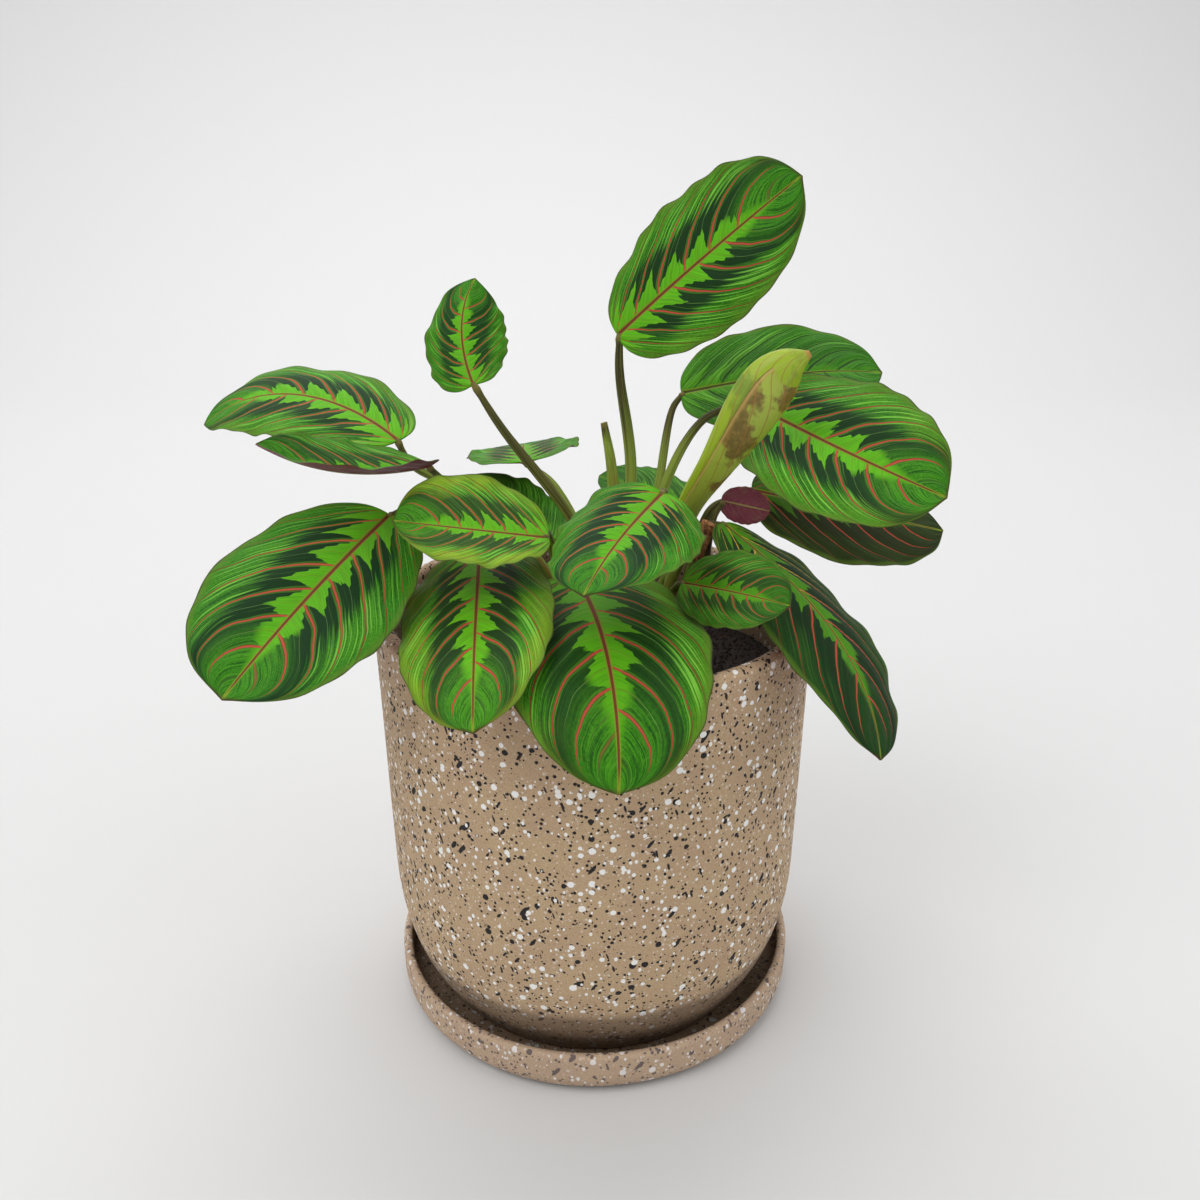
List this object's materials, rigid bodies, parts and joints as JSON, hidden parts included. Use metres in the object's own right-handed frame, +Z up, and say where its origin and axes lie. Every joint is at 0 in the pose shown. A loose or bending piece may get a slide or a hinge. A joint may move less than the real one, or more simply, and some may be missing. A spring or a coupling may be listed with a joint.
{
  "type": "potted prayer plant",
  "caption": "Prayer plant with red-veined patterned leaves on thin stalks, growing in soil in a rounded speckled stone-look pot that stands on a matching low saucer.",
  "frame": {"origin": "centre of the saucer's flat underside, on the surface the plant stands on", "axes": "+Z up along the axis of the pot and the saucer; -Y is the front; +X is to the right of someone facing the front"},
  "size_m": [0.3322, 0.2477, 0.3877],
  "materials": {
    "speckled_stone": "matte tan body with white and black specks",
    "potting_soil": "dark crumbly peat",
    "patterned_leaf": "satin green with a pale feathered midrib band, dark blotches and red veins, maroon underside",
    "young_leaf": "satin yellow-green with brown patches",
    "leaf_stalk": "satin green with brown and maroon streaks",
    "dry_sheath": "dry brown"
  },
  "bodies": {
    "root": {"back_leaf": "patterned_leaf", "back_leaf_stalk": "leaf_stalk", "back_left_leaf": "patterned_leaf", "back_left_leaf_stalk": "leaf_stalk", "back_right_leaf": "patterned_leaf", "back_right_leaf_stalk": "leaf_stalk", "big_left_leaf": "patterned_leaf", "big_left_leaf_stalk": "leaf_stalk", "big_right_leaf": "patterned_leaf", "big_right_leaf_stalk": "leaf_stalk", "centre_leaf": "patterned_leaf", "centre_leaf_stalk": "leaf_stalk", "curled_left_leaf": "patterned_leaf", "curled_left_leaf_stalk": "leaf_stalk", "drooping_right_leaf": "patterned_leaf", "drooping_right_leaf_stalk": "leaf_stalk", "dry_sheath": "dry_sheath", "folded_left_leaf": "patterned_leaf", "folded_left_leaf_stalk": "leaf_stalk", "front_leaf": "patterned_leaf", "front_leaf_stalk": "leaf_stalk", "front_left_leaf": "patterned_leaf", "front_left_leaf_stalk": "leaf_stalk", "inner_left_leaf": "patterned_leaf", "inner_left_leaf_stalk": "leaf_stalk", "lower_right_leaf": "patterned_leaf", "lower_right_leaf_stalk": "leaf_stalk", "middle_left_leaf": "patterned_leaf", "middle_left_leaf_stalk": "leaf_stalk", "pot": "speckled_stone", "potting_soil": "potting_soil", "rolled_leaf_stalk": "leaf_stalk", "rolled_young_leaf": "young_leaf", "saucer": "speckled_stone", "small_lower_right_leaf": "patterned_leaf", "small_lower_right_leaf_stalk": "leaf_stalk", "small_right_leaf": "patterned_leaf", "small_right_leaf_stalk": "leaf_stalk", "top_leaf": "patterned_leaf", "top_leaf_stalk": "leaf_stalk", "top_stalk_sheath": "leaf_stalk", "upper_left_leaf": "patterned_leaf", "upper_left_leaf_stalk": "leaf_stalk"}
  },
  "joints": []
}
